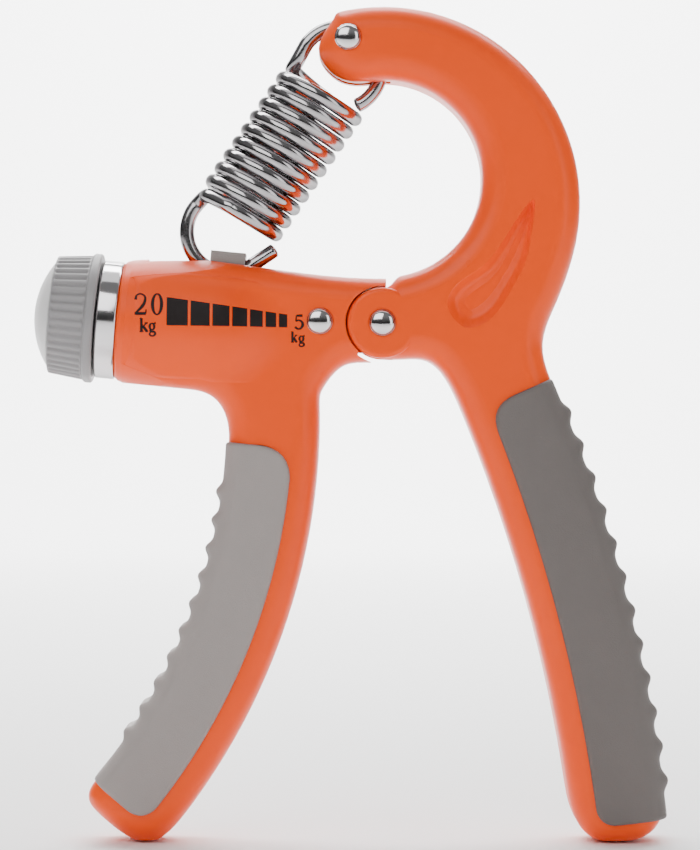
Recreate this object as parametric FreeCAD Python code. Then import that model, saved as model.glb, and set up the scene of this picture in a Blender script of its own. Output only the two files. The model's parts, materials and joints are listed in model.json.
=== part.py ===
"""Adjustable hand grip strengthener: two moulded handles on a pivot, with a screw-adjusted tension spring.

Millimetres, +Z up. The grip stands on its two handle ends with the origin below its middle, +X runs from the
adjusting knob towards the right handle, and the front faces -Y. Writes one STEP per sub-part to parts/.
"""

import FreeCAD, Part
import math
import os

# Plates and mouldings
BODY_HALF = 8.5            # half thickness of both handle mouldings
EDGE_ROUND = 4.5           # rounding along the outer edges of the mouldings
GRIP_PROUD = 0.7           # how far the rubber stands above the moulding's faces
GRIP_ROUND = 3.0
CORE_HALF = 6.0            # half thickness of the plastic spine under the rubber
GRIP_WALL = 2.6            # rubber thickness over the palm edge
RIB_RADIUS = 1.7
RIB_SINK = 0.75            # how far a rib's centre lies under the pad's palm face

# Pivot between the handles
PIVOT = (6.3, 97.5)
HUB_RADIUS = 6.65          # round end of the right handle's two cheeks
HUB_EASE = 0.9
HUB_GAP = 0.3
TONGUE_HALF = 4.0
TONGUE_RADIUS = 6.3
FORK_HALF = 4.5
HUB_RELIEF = 7.6           # clears the right handle's lower edge as it swings

# Rivets: a post with a domed head, and a domed cap pressed into it from the back
RIVET_RADIUS = 2.0
PIN_RADIUS = 1.15
HEAD_RADIUS = 2.5
HEAD_HEIGHT = 1.1
HEAD_SEAT = 0.4
RUNNING = 0.05
STOP_RIVET = (-5.5, 97.8)
SPRING_PIN = (-0.2, 151.1)

# Barrel on the left handle, along its own tilted axis
BARREL_START = (-47.6, 98.5)   # where the axis meets the knob's inner face
BARREL_TILT = 5.5
BARREL_RADIUS = 11.7
BARREL_FACE = 4.2              # stations along the axis, from BARREL_START
BARREL_TAPER = (22.0, 40.0)    # where the barrel's radius eases down to BARREL_NECK, inside the flat hub
BARREL_NECK = 7.6
BORE_RADIUS = 5.6
BORE_END = 45.0
SLOT = (8.5, 39.8)
SLOT_HALF = 3.5
SPIGOT_RADIUS = 6.95
SPIGOT_START = 0.6

# Adjusting screw and what it carries
SCREW_RADIUS = 3.0
CLIP_STATION = 8.8
NUT_STATION = 23.5
NUT_HALF = 3.3
LUG_HEIGHT = 14.9
BUSH_START = 37.5
PILOT_END = 39.6

# Knob
KNOB_RADIUS = 12.3
KNOB_BAND = 11.7
KNOB_LENGTH = 8.6
KNOB_FLANGE = 1.8
KNOB_RIBS = 44
CAP_RADIUS = 10.3
CAP_HEIGHT = 3.5

# Tension spring, from the centre of its lower hook to the centre of its upper loop
WIRE_RADIUS = 1.38
COIL_RADIUS = 7.8
HOOK_CENTRE = (-23.0, 115.0)
LOOP_CENTRE = (-1.7, 146.1)
COIL_START = 3.3
COIL_PITCH = 2.95
COIL_TURNS = 10
STEPS_PER_TURN = 12
SPRING_GAP = 0.006          # share of a turn left open between the spring's nodes
LOWER_TURNS = 3
TAIL_TURN = -22             # degrees round the hook where its straight tail leaves the curve
TAIL_LENGTH = 5.3
LOOP_END = -26              # degrees round the upper loop where its cut end stops short of the coil
TIP_SLOT_HALF = 1.7
TIP_SLOT_RADIUS = 10.0

# Handle outlines: each grip edge is an arc about a far centre
LEFT_ARC = (-128.7, 79.9)
LEFT_PALM = 106.1
LEFT_RIM = 118.2
LEFT_FINGER = 123.2
LEFT_PAD = 105.6
LEFT_GRIP = (-2.7, -40.3)      # degrees about LEFT_ARC
LEFT_CORNERS = (6.5, 4.0)
LEFT_RIBS = (-7.7, -34.3, 10)
RIGHT_ARC = (-259.6, -35.7)
RIGHT_FINGER = 304.2
RIGHT_RIM = 308.8
RIGHT_PALM_ARC = (-228.9, -27.3)
RIGHT_PALM = 290.4
RIGHT_PAD = 290.6
RIGHT_GRIP = (23.2, 6.25)      # degrees about RIGHT_PALM_ARC
RIGHT_RIM_ENDS = (22.35, 7.15)  # degrees about RIGHT_ARC
RIGHT_CORNERS = (5.5, 3.5)
RIGHT_RIBS = (21.8, 7.65, 12)
# Hollow below the ring: rim points with the middle point each one faces, and (share of width, depth) sections
DISH = [
    ((23.2, 96.8), (23.4, 101.0)), ((27.1, 99.0), (25.2, 102.4)), ((30.2, 103.6), (27.7, 105.5)),
    ((32.8, 108.6), (30.1, 109.5)), ((34.2, 114.9), (32.6, 115.0)), ((34.4, 120.4), (33.8, 117.8)),
    ((32.6, 118.4), (33.3, 116.6)), ((29.3, 113.2), (31.3, 112.4)), ((24.9, 107.7), (27.6, 105.7)),
    ((20.8, 104.9), (23.6, 102.6)), ((18.7, 101.4), (22.6, 101.3)), ((20.0, 98.2), (22.8, 101.0)),
]
DISH_SECTIONS = [(1.22, -0.5), (1.08, -0.05), (0.94, 0.45), (0.76, 1.2), (0.5, 1.75), (0.22, 1.95)]
RING_CENTRE = (6.5, 124.8)
RING_RADIUS = 18.6
CROWN_CENTRE = (6.5, 120.1)
CROWN_RADIUS = 37.15

V = FreeCAD.Vector
Y = V(0, 1, 0)
TILT = math.radians(BARREL_TILT)
AXIS = V(math.cos(TILT), 0, -math.sin(TILT))
UP = V(math.sin(TILT), 0, math.cos(TILT))


def point(xz, y=0.0):
    """A point of the front view as a vector."""
    return V(xz[0], y, xz[1])


def polar(centre, radius, degrees):
    """The point at an angle and radius about a centre in the front view."""
    a = math.radians(degrees)
    return (centre[0] + radius * math.cos(a), centre[1] + radius * math.sin(a))


def station(s, up=0.0, y=0.0):
    """A point s along the barrel's axis and up above it."""
    return point(BARREL_START) + AXIS * s + UP * up + Y * y


def line(a, b):
    return Part.LineSegment(point(a), point(b)).toShape()


def arc(a, middle, b):
    return Part.Arc(point(a), point(middle), point(b)).toShape()


def arc_about(centre, radius, start, end):
    """An arc about a centre, between two angles in degrees."""
    ends = [polar(centre, radius, d) for d in (start, (start + end) / 2, end)]
    return arc(*ends)


def curve(points):
    spline = Part.BSplineCurve()
    spline.interpolate([point(p) for p in points])
    return spline.toShape()


def plate(edges, half):
    """The closed outline, extruded both ways from the middle plane."""
    face = Part.Face(Part.Wire(edges))
    face.translate(V(0, -half, 0))
    return face.extrude(V(0, 2 * half, 0))


def rounded_plate(outline, half, radius):
    """A plate with its front and back edges rounded along the smooth stretches and the top, not at cut ends."""
    smooth, top, ends = outline
    solid = plate(Part.__sortEdges__(smooth + top + ends), half)
    keep = smooth + top
    rims = []
    for edge in solid.Edges:
        middle = edge.valueAt((edge.FirstParameter + edge.LastParameter) / 2)
        if abs(abs(middle.y) - half) < 1e-6 and near_any(V(middle.x, 0, middle.z), keep):
            rims.append(edge)
    return solid.makeFillet(radius, rims)


def near_any(spot, edges):
    vertex = Part.Vertex(spot)
    return any(vertex.distToShape(edge)[0] < 1e-3 for edge in edges)


def tube_y(xz, radius, y0, y1):
    """A cylinder across the object, along Y."""
    return Part.makeCylinder(radius, y1 - y0, point(xz, y0), Y)


def rod(radius, s0, s1):
    """A cylinder along the barrel's axis."""
    return Part.makeCylinder(radius, s1 - s0, station(s0), AXIS)


def ring(outer, inner, s0, s1):
    return rod(outer, s0, s1).cut(rod(inner, s0 - 1, s1 + 1))


def revolved(profile):
    """A solid turned about the barrel's axis from a list of (station, radius) points."""
    points = [station(s, r) for s, r in profile]
    face = Part.Face(Part.makePolygon(points + points[:1]))
    return face.revolve(station(0), AXIS, 360)


def fused(shapes):
    """The shapes joined into one solid."""
    return shapes[0].multiFuse(shapes[1:]).removeSplitter()


def block(s0, s1, half, up0, up1):
    """A box that is square to the barrel's axis."""
    corners = [station(s0, up0), station(s1, up0), station(s1, up1), station(s0, up1)]
    face = Part.Face(Part.makePolygon(corners + corners[:1]))
    face.translate(Y * -half)
    return face.extrude(Y * (2 * half))


# Handle outlines ------------------------------------------------------------------------------------------------


def blend(before, points, after):
    """A smooth curve that leaves one edge, passes through the points and meets the next edge."""
    start, end = before.valueAt(before.LastParameter), after.valueAt(after.FirstParameter)
    spline = Part.BSplineCurve()
    spline.interpolate(
        Points=[start, *[point(p) for p in points], end],
        InitialTangent=before.tangentAt(before.LastParameter),
        FinalTangent=after.tangentAt(after.FirstParameter),
    )
    return spline.toShape()


def left_outline():
    """Barrel, hub and curved handle of the left moulding; both ends run past where they are cut off."""
    right_end = PIVOT[0] + 6
    far_left, near_left = station(-1, -BARREL_RADIUS), station(15, -BARREL_RADIUS)
    high_left = station(-1, BARREL_RADIUS)
    hub_line = line((right_end, 90.2), (3.0, 90.2))
    finger = arc_about(LEFT_ARC, LEFT_FINGER, -2.1, -36.0)
    palm = arc_about(LEFT_ARC, LEFT_PALM, -40.3, -2.4)
    under = line((near_left.x, near_left.z), (far_left.x, far_left.z))
    top = curve([(high_left.x, high_left.z), (-31.0, 109.8), (-19.0, 108.4), (-7.8, 106.9), (right_end, 106.2)])
    smooth = [
        hub_line,
        blend(hub_line, [(-1.6, 89.2), (-4.6, 85.8)], finger),
        finger,
        blend(finger, [(-38.6, -0.4), (-47.0, 4.8)], palm),
        palm,
        blend(palm, [(-25.5, 83.4)], under),
        under,
    ]
    ends = [
        line((far_left.x, far_left.z), (high_left.x, high_left.z)),
        line((right_end, 106.2), (right_end, 90.2)),
    ]
    return smooth, [top], ends


def right_outline():
    """Round hub, open ring with the hooked tip, and straight handle of the right moulding."""
    inner_ring = arc_about(RING_CENTRE, RING_RADIUS, -79.0, 98.0)
    crown = arc_about(CROWN_CENTRE, CROWN_RADIUS, 97.0, -15.0)
    palm = arc_about(RIGHT_PALM_ARC, RIGHT_PALM, 22.6, 7.2)
    finger = arc_about(RIGHT_ARC, RIGHT_FINGER, 8.6, 22.4)
    hub = arc_about(PIVOT, HUB_RADIUS, -100.0, -270.0)
    smooth = [
        inner_ring,
        blend(inner_ring, [(-3.0, 144.6), (-5.7, 149.6), (-2.9, 155.1)], crown),
        crown,
        blend(crown, [(39.0, 101.0), (36.6, 93.2)], palm),
        palm,
        blend(palm, [(50.9, -0.4)], finger),
        finger,
        blend(finger, [(14.6, 90.5)], hub),
        hub,
        blend(hub, [], inner_ring),
    ]
    return smooth, [], []


# Handle mouldings and rubber ------------------------------------------------------------------------------------


def pad_region(palm_arc, rim_arc, corners):
    """Front view of a rubber pad, between its palm edge and a rim whose two corners are rounded.

    Each arc is a centre, a radius and two angles; the rim runs nearer to the fingers than the palm edge.
    """
    palm_centre, palm, palm_start, palm_end = palm_arc
    centre, rim, start, end = rim_arc
    toward_palm = 1 if palm_centre != centre else -1
    upper, lower = (toward_palm * corner for corner in corners)
    turn, back = (math.degrees(corner / rim) for corner in corners)
    share = 1 - math.sqrt(0.5)
    first, last = polar(centre, rim + upper, start), polar(centre, rim + lower, end)
    first_mid = polar(centre, rim + upper * share, start - turn * share)
    last_mid = polar(centre, rim + lower * share, end + back * share)
    return [
        line(polar(palm_centre, palm, palm_start), first),
        arc(first, first_mid, polar(centre, rim, start - turn)),
        arc_about(centre, rim, start - turn, end + back),
        arc(polar(centre, rim, end + back), last_mid, last),
        line(last, polar(palm_centre, palm, palm_end)),
        arc_about(palm_centre, palm, palm_end, palm_start),
    ]


def left_pad_region():
    return pad_region((LEFT_ARC, LEFT_PALM - 3, *LEFT_GRIP), (LEFT_ARC, LEFT_RIM, *LEFT_GRIP), LEFT_CORNERS)


def right_pad_region():
    palm_arc = (RIGHT_PALM_ARC, RIGHT_PALM + 3, *RIGHT_GRIP)
    return pad_region(palm_arc, (RIGHT_ARC, RIGHT_RIM, *RIGHT_RIM_ENDS), RIGHT_CORNERS)


def band(outer_arc, inner_arc):
    """Region between two arcs, closed by straight ends."""
    outer, inner = arc_about(*outer_arc), arc_about(*inner_arc)
    corners = [polar(outer_arc[0], outer_arc[1], d) for d in outer_arc[2:]]
    near = [polar(inner_arc[0], inner_arc[1], d) for d in inner_arc[2:]]
    return [outer, line(corners[1], near[1]), inner, line(near[0], corners[0])]


def left_core():
    """The plastic spine that the left rubber is moulded over."""
    ends = (LEFT_GRIP[0] + 1.5, LEFT_GRIP[1] - 1.5)
    edges = band((LEFT_ARC, LEFT_FINGER - 1, *ends), (LEFT_ARC, LEFT_PALM + GRIP_WALL, *ends))
    return plate(Part.__sortEdges__(edges), CORE_HALF)


def right_core():
    palm_ends = (RIGHT_GRIP[0] + 0.6, RIGHT_GRIP[1] - 0.6)
    rim_ends = (RIGHT_RIM_ENDS[0] + 0.6, RIGHT_RIM_ENDS[1] - 0.6)
    palm = RIGHT_PALM - GRIP_WALL
    edges = band((RIGHT_PALM_ARC, palm, *palm_ends), (RIGHT_ARC, RIGHT_FINGER + 1, *rim_ends))
    return plate(Part.__sortEdges__(edges), CORE_HALF)


def rivet_bores(xz, radius):
    """The hole for a rivet's post and the shallow seats for its two heads."""
    seat = BODY_HALF - HEAD_SEAT
    reach = BODY_HALF + 4
    return [
        tube_y(xz, radius + RUNNING, -reach, reach),
        tube_y(xz, HEAD_RADIUS + 0.15, -reach, -seat),
        tube_y(xz, HEAD_RADIUS + 0.15, seat, reach),
    ]


def barrel():
    """The round barrel with its curved run down into the flat hub, kept inside the moulding's outline."""
    start, end = BARREL_TAPER
    pull = (end - start) * 0.45
    ease = Part.BezierCurve()
    ease.setPoles([station(start, BARREL_RADIUS), station(start + pull, BARREL_RADIUS),
                   station(end - pull, BARREL_NECK), station(end, BARREL_NECK)])
    mouth, heel = station(BARREL_FACE), station(end)
    straight = [
        Part.LineSegment(mouth, station(BARREL_FACE, BARREL_RADIUS)).toShape(),
        Part.LineSegment(station(BARREL_FACE, BARREL_RADIUS), station(start, BARREL_RADIUS)).toShape(),
    ]
    closing = [Part.LineSegment(station(end, BARREL_NECK), heel).toShape(), Part.LineSegment(heel, mouth).toShape()]
    turned = Part.Face(Part.Wire([*straight, ease.toShape(), *closing])).revolve(station(0), AXIS, 360)
    smooth, top, ends = left_outline()
    within = plate(Part.__sortEdges__(smooth + top + ends), 2 * BODY_HALF)
    return turned.common(within)


def box_y(corner, opposite, half):
    """A block across the object between two corners of the front view."""
    (x0, z0), (x1, z1) = corner, opposite
    return Part.makeBox(x1 - x0, 2 * half, z1 - z0, V(x0, -half, z0))


def below_feet(half):
    """Everything under the ground the two handle ends stand on; it leaves a small flat on each."""
    return box_y((-80, -10), (80, 0), half)


def mouth_bevel():
    """The bevel round the barrel's mouth."""
    face, rim = BARREL_FACE, BARREL_RADIUS
    return revolved([(face - 1, rim - 0.8), (face, rim - 0.8), (face + 0.5, rim - 0.35), (face + 1.6, rim + 0.02),
                     (face + 3.2, rim + 0.3), (face + 6.5, rim + 0.7), (face + 11, rim + 1.15), (face + 11, rim + 6),
                     (face - 1, rim + 6)])


def shoulder_bevel():
    """The bevel carried on along the barrel's top, until it runs out over the flat sides."""
    face, rim = BARREL_FACE, BARREL_RADIUS
    cone = revolved([(face + 11, rim + 1.15), (face + 24, rim + 2.45), (face + 24, rim + 6), (face + 11, rim + 6)])
    return cone.common(block(face + 10, face + 25, 2 * BODY_HALF, 2, 20))


def left_handle():
    reach = 2 * BODY_HALF
    x, z = PIVOT
    body = rounded_plate(left_outline(), BODY_HALF, EDGE_ROUND)
    body = body.cut([
        block(-20, BARREL_FACE, reach, -20, 20),
        box_y((x + 0.7, z - 20), (x + 12, z + 20), reach),
        below_feet(reach),
    ])
    body = fused([body, barrel(), rod(SPIGOT_RADIUS, SPIGOT_START, BARREL_FACE + 2)])
    lower = tube_y(PIVOT, HUB_RELIEF, -reach, reach).common(box_y((x - 4.6, z - 12), (x + 9, z - 4), reach))
    body = body.cut([
        tube_y(PIVOT, HUB_RADIUS + HUB_GAP, -reach, reach),
        lower,
        rod(BORE_RADIUS, 0, BORE_END),
        mouth_bevel(),
        shoulder_bevel(),
        block(*SLOT, SLOT_HALF, 0, 2 * BARREL_RADIUS),
        plate(left_pad_region(), reach).cut(left_core()),
        *rivet_bores(STOP_RIVET, RIVET_RADIUS),
    ])
    disc = tube_y(PIVOT, TONGUE_RADIUS, -TONGUE_HALF, TONGUE_HALF)
    neck = box_y((x - 8.5, z - 5.5), (x, z + 5.5), TONGUE_HALF)
    return fused([body, disc, neck]).cut(tube_y(PIVOT, RIVET_RADIUS + RUNNING, -reach, reach))


def tip_slot():
    """The slot in the hooked tip that the spring's loop turns in."""
    return tube_y(LOOP_CENTRE, TIP_SLOT_RADIUS, -TIP_SLOT_HALF, TIP_SLOT_HALF)


def dish_outline(share, y):
    """The hollow's flame-shaped outline, drawn in towards its middle line by a share of its width."""
    points = []
    for (x, z), (middle_x, middle_z) in DISH:
        points.append(V(middle_x + (x - middle_x) * share, y, middle_z + (z - middle_z) * share))
    spline = Part.BSplineCurve()
    spline.interpolate(points, PeriodicFlag=True)
    return Part.Wire([spline.toShape()])


def finger_dish():
    """The long hollow in each side of the right handle below the ring: eased rim, sloping walls, shallow floor."""
    hollows = []
    for side in (-1, 1):
        sections = [dish_outline(share, side * (BODY_HALF - depth)) for share, depth in DISH_SECTIONS]
        hollows.append(Part.makeLoft(sections, True, False))
    return hollows


def hub_disc():
    """The round end of the two cheeks, with only its rim eased."""
    disc = tube_y(PIVOT, HUB_RADIUS, -BODY_HALF, BODY_HALF)
    rims = [e for e in disc.Edges if abs(abs(e.BoundBox.YMin) - BODY_HALF) < 1e-6 and e.BoundBox.YLength < 1e-6]
    return disc.makeFillet(HUB_EASE, rims)


def right_handle():
    body = fused([rounded_plate(right_outline(), BODY_HALF, EDGE_ROUND), hub_disc()])
    reach = 2 * BODY_HALF
    return body.cut([
        below_feet(reach),
        tube_y(PIVOT, HUB_RADIUS + HUB_GAP + 0.1, -FORK_HALF, FORK_HALF),
        tip_slot(),
        *finger_dish(),
        plate(right_pad_region(), reach).cut(right_core()),
        *rivet_bores(PIVOT, RIVET_RADIUS),
        *rivet_bores(SPRING_PIN, PIN_RADIUS),
    ])


def pad_sweep(centre, palm, depth, start, end):
    """The pad's section, rounded on its palm side, turned about the palm edge's centre.

    Depth runs from the palm edge towards the fingers: positive outward, negative inward.
    """
    half = BODY_HALF + GRIP_PROUD
    side = math.copysign(GRIP_ROUND, depth)
    soft = side * (1 - math.sqrt(0.5))
    gentle = abs(soft)
    a = math.radians(start)
    out = V(math.cos(a), 0, math.sin(a))
    base = point(centre)

    def at(radius, y):
        return base + out * radius + Y * y

    far, round_start, flat = palm + depth, palm + side, half - GRIP_ROUND
    edges = [
        Part.LineSegment(at(far, -half), at(round_start, -half)).toShape(),
        Part.Arc(at(round_start, -half), at(palm + soft, -half + gentle), at(palm, -flat)).toShape(),
        Part.LineSegment(at(palm, -flat), at(palm, flat)).toShape(),
        Part.Arc(at(palm, flat), at(palm + soft, half - gentle), at(round_start, half)).toShape(),
        Part.LineSegment(at(round_start, half), at(far, half)).toShape(),
        Part.LineSegment(at(far, half), at(far, -half)).toShape(),
    ]
    return Part.Face(Part.Wire(edges)).revolve(base, Y, start - end)


def ribs(centre, radius, first, last, count):
    """Round ribs across a palm edge, evenly spaced from the first one's angle to the last one's."""
    step = (last - first) / (count - 1)
    half = BODY_HALF + GRIP_PROUD - GRIP_ROUND
    return [tube_y(polar(centre, radius, first + step * i), RIB_RADIUS, -half, half) for i in range(count)]


def left_grip():
    reach = 2 * BODY_HALF
    sweep = pad_sweep(LEFT_ARC, LEFT_PAD, 14, *LEFT_GRIP).common(plate(left_pad_region(), reach))
    return fused([sweep.cut(left_core()), *ribs(LEFT_ARC, LEFT_PAD + RIB_SINK, *LEFT_RIBS)])


def right_grip():
    reach = 2 * BODY_HALF
    sweep = pad_sweep(RIGHT_PALM_ARC, RIGHT_PAD, -20, *RIGHT_GRIP).common(plate(right_pad_region(), reach))
    return fused([sweep.cut(right_core()), *ribs(RIGHT_PALM_ARC, RIGHT_PAD - RIB_SINK, *RIGHT_RIBS)])


# Rivets and washers ---------------------------------------------------------------------------------------------


def dome_head(xz, side):
    """A domed rivet head on its seat; side is -1 at the front and 1 at the back."""
    seat = BODY_HALF - HEAD_SEAT
    sphere_radius = (HEAD_RADIUS ** 2 + HEAD_HEIGHT ** 2) / (2 * HEAD_HEIGHT)
    centre = point(xz, side * (seat + HEAD_SEAT + HEAD_HEIGHT - sphere_radius))
    ball = Part.makeSphere(sphere_radius, centre)
    low, high = sorted((side * seat, side * (seat + HEAD_SEAT + HEAD_HEIGHT + 1)))
    return ball.common(tube_y(xz, HEAD_RADIUS, low, high))


def rivet_post(xz, radius):
    """Front half of a rivet: head and hollow post."""
    seat = BODY_HALF - HEAD_SEAT
    post = tube_y(xz, radius, -seat, seat - 0.2)
    return fused([dome_head(xz, -1), post]).cut(tube_y(xz, radius * 0.6, -2, seat))


def rivet_cap(xz, radius):
    """Back half of a rivet: head and the stem pressed into the post."""
    seat = BODY_HALF - HEAD_SEAT
    return fused([dome_head(xz, 1), tube_y(xz, radius * 0.6 - 0.02, -1, seat)])


def pivot_washers():
    """Two thin washers between the tongue and the cheeks."""
    gap = 0.05
    solids = []
    for y0 in (-FORK_HALF + gap, TONGUE_HALF + gap):
        disc = tube_y(PIVOT, TONGUE_RADIUS - 0.8, y0, y0 + FORK_HALF - TONGUE_HALF - 2 * gap)
        solids.append(disc.cut(tube_y(PIVOT, RIVET_RADIUS + 0.1, -FORK_HALF, FORK_HALF)))
    return Part.makeCompound(solids)


# Screw, nut and knob --------------------------------------------------------------------------------------------


def collar():
    """Plain steel ring between the knob and the barrel."""
    return revolved([(0.25, 7.0), (0.25, 10.9), (0.55, 11.2), (3.9, 11.2), (4.15, 10.95), (4.15, 7.0)])


def screw_bearing():
    """Bush pressed into the barrel's mouth, which carries the screw."""
    return ring(BORE_RADIUS - 0.03, SCREW_RADIUS + RUNNING, 0.8, 8.0)


def thrust_washer():
    return ring(BORE_RADIUS - 0.3, SCREW_RADIUS + 0.1, 8.05, 8.75)


def retaining_clip():
    """Split clip in the screw's groove."""
    washer = ring(4.6, 2.55, CLIP_STATION, CLIP_STATION + 0.8)
    return washer.cut(block(CLIP_STATION - 1, CLIP_STATION + 2, 1.6, -6, 0))


def lead_screw():
    """Threaded rod at the thread's outer radius, with the clip's groove, the knob's end and a pilot."""
    groove = (CLIP_STATION - 0.05, CLIP_STATION + 0.85)
    body = revolved([
        (-5.5, 0), (-5.5, 2.7), (-5.2, SCREW_RADIUS),
        (groove[0], SCREW_RADIUS), (groove[0], 2.5), (groove[1], 2.5), (groove[1], SCREW_RADIUS),
        (36.0, SCREW_RADIUS), (36.6, 2.4), (36.6, 1.8), (PILOT_END - 0.2, 1.8), (PILOT_END, 1.6), (PILOT_END, 0),
    ])
    return body.cut(rod(1.25, -6, 1.5))


def end_bush():
    """Blind bush at the barrel's inner end, held by the stop rivet through it."""
    bush = rod(BORE_RADIUS - 0.03, BUSH_START, BORE_END - 0.1)
    return bush.cut([rod(1.85, BUSH_START - 1, PILOT_END + 0.2), tube_y(STOP_RIVET, RIVET_RADIUS + RUNNING, -9, 9)])


def slider_nut():
    """Travelling nut with the lug that the spring hooks into."""
    s0, s1 = NUT_STATION - NUT_HALF, NUT_STATION + NUT_HALF
    lug = block(s0, s1, SLOT_HALF - 0.2, 2, LUG_HEIGHT)
    eye = Part.makeTorus(COIL_RADIUS, WIRE_RADIUS + 0.3, point(HOOK_CENTRE), Y)
    return fused([rod(BORE_RADIUS - 0.25, s0, s1), lug]).cut([rod(SCREW_RADIUS + 0.06, s0 - 1, s1 + 1), eye])


def knob():
    """Ribbed knob with a plain flange next to the collar."""
    body = revolved([
        (-0.05, 0), (-0.05, KNOB_RADIUS - 0.3), (-0.35, KNOB_RADIUS), (-KNOB_FLANGE, KNOB_RADIUS),
        (-KNOB_FLANGE, KNOB_BAND), (-KNOB_LENGTH + 1.2, KNOB_BAND - 0.2), (-KNOB_LENGTH, CAP_RADIUS + 0.4),
        (-KNOB_LENGTH, 0),
    ])
    grooves = []
    for i in range(KNOB_RIBS):
        a = 2 * math.pi * i / KNOB_RIBS
        spot = station(-KNOB_LENGTH - 1, KNOB_BAND * math.cos(a), KNOB_BAND * math.sin(a))
        grooves.append(Part.makeCylinder(0.42, KNOB_LENGTH - KNOB_FLANGE + 0.6, spot, AXIS))
    hollow = [rod(SCREW_RADIUS + 0.02, -5.5, 1), rod(1.5, -7, 1), rod(7.6, -KNOB_LENGTH - 1, -6.3)]
    return body.cut(grooves + hollow)


def knob_cap():
    """Domed end cap that snaps into the knob and hides its screw."""
    base = -KNOB_LENGTH - 0.03
    sphere_radius = (CAP_RADIUS ** 2 + CAP_HEIGHT ** 2) / (2 * CAP_HEIGHT)
    ball = Part.makeSphere(sphere_radius, station(base - CAP_HEIGHT + sphere_radius))
    dome = ball.common(rod(CAP_RADIUS, base - CAP_HEIGHT - 1, base))
    return fused([dome, ring(7.5, 6.3, base - 0.5, -7.0)])


def knob_screw():
    """Pan-head screw that holds the knob on the end of the adjusting screw."""
    head = revolved([(-6.31, 0), (-6.31, 2.6), (-7.4, 2.6), (-8.1, 1.6), (-8.1, 0)])
    cross = [block(-8.3, -7.3, 0.3, -1.5, 1.5), block(-8.3, -7.3, 1.5, -0.3, 0.3)]
    return fused([head, rod(1.2, -6.4, 1.2)]).cut(cross)


# Spring ---------------------------------------------------------------------------------------------------------


def spring_frame():
    """Unit vectors along the spring and across it in the front view, and its length between loop centres."""
    along = point(LOOP_CENTRE) - point(HOOK_CENTRE)
    length = along.Length
    along.normalize()
    return along, along.cross(Y) * -1, length


def spring_point(t, across, y):
    along, side, _ = spring_frame()
    return point(HOOK_CENTRE) + along * t + side * across + Y * y


def coil_points(first_turn, last_turn):
    """Points on the helix; turn 0 starts at the crest on the knob's side and goes round by the front."""
    count = round((last_turn - first_turn) * STEPS_PER_TURN)
    points = []
    for i in range(count + 1):
        turn = first_turn + (last_turn - first_turn) * i / count
        a = 2 * math.pi * turn
        points.append(spring_point(
            COIL_START + COIL_PITCH * turn, -COIL_RADIUS * math.cos(a), -COIL_RADIUS * math.sin(a)))
    return points


def loop_points(t, degrees):
    """Points of a loop in the front plane about a centre t along the spring; 0 degrees is across, 90 along."""
    return [spring_point(t + COIL_RADIUS * math.sin(math.radians(d)), COIL_RADIUS * math.cos(math.radians(d)), 0)
            for d in degrees]


def wire(points):
    """Round wire swept along a smooth line through the points."""
    spline = Part.BSplineCurve()
    spline.interpolate(points)
    path = Part.Wire([spline.toShape()])
    start = spline.value(spline.FirstParameter)
    heading = spline.tangent(spline.FirstParameter)[0]
    section = Part.Wire([Part.makeCircle(WIRE_RADIUS, start, heading)])
    return path.makePipeShell([section], True, False)


def spring_hook_end():
    """Cut end of the lower hook, from under the lug out along its straight tail."""
    curved = loop_points(0, [-90, -78, -66, -54, -42, -32, TAIL_TURN])
    a = math.radians(TAIL_TURN)
    along, side, _ = spring_frame()
    heading = along * math.cos(a) - side * math.sin(a)
    return wire(curved + [curved[-1] + heading * (TAIL_LENGTH * i / 3) for i in (1, 2, 3)])


def spring_lower_hook():
    """Lower hook's rise into the first turns of the coil."""
    rise = loop_points(0, [-90, -105, -120, -135, -150, -165, -180, -195])
    bend = [spring_point(3.1, -7.2, -1.4), spring_point(3.5, -6.2, -4.0)]
    return wire(rise + bend + coil_points(1 / 6, LOWER_TURNS)[1:])


def spring_coils():
    return wire(coil_points(LOWER_TURNS + SPRING_GAP, COIL_TURNS - 1 - SPRING_GAP))


def spring_upper_loop():
    """Last turn of the coil and the full loop over the spring pin."""
    _, _, length = spring_frame()
    bend = [spring_point(32.7, -7.5, 1.5), spring_point(34.2, -7.5, 0.4)]
    loop = loop_points(length, [180, 160, 135, 110, 85, 60, 35, 10, -10, LOOP_END])
    return wire(coil_points(COIL_TURNS - 1, COIL_TURNS)[:-1] + bend + loop)


# Export ---------------------------------------------------------------------------------------------------------

PARTS = {
    "left_handle": left_handle,
    "left_grip": left_grip,
    "right_handle": right_handle,
    "right_grip": right_grip,
    "pivot_post": lambda: rivet_post(PIVOT, RIVET_RADIUS),
    "pivot_cap": lambda: rivet_cap(PIVOT, RIVET_RADIUS),
    "stop_post": lambda: rivet_post(STOP_RIVET, RIVET_RADIUS),
    "stop_cap": lambda: rivet_cap(STOP_RIVET, RIVET_RADIUS),
    "spring_pin_post": lambda: rivet_post(SPRING_PIN, PIN_RADIUS),
    "spring_pin_cap": lambda: rivet_cap(SPRING_PIN, PIN_RADIUS),
    "pivot_washers": pivot_washers,
    "collar": collar,
    "screw_bearing": screw_bearing,
    "thrust_washer": thrust_washer,
    "retaining_clip": retaining_clip,
    "lead_screw": lead_screw,
    "end_bush": end_bush,
    "slider_nut": slider_nut,
    "knob": knob,
    "knob_cap": knob_cap,
    "knob_screw": knob_screw,
    "spring_hook_end": spring_hook_end,
    "spring_lower_hook": spring_lower_hook,
    "spring_coils": spring_coils,
    "spring_upper_loop": spring_upper_loop,
}


def main():
    os.makedirs("parts", exist_ok=True)
    for name, make in PARTS.items():
        shape = make()
        print(name, "valid", shape.isValid(), "solids", len(shape.Solids), "volume", round(shape.Volume, 1))
        shape.exportStep(f"parts/{name}.step")


main()
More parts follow.
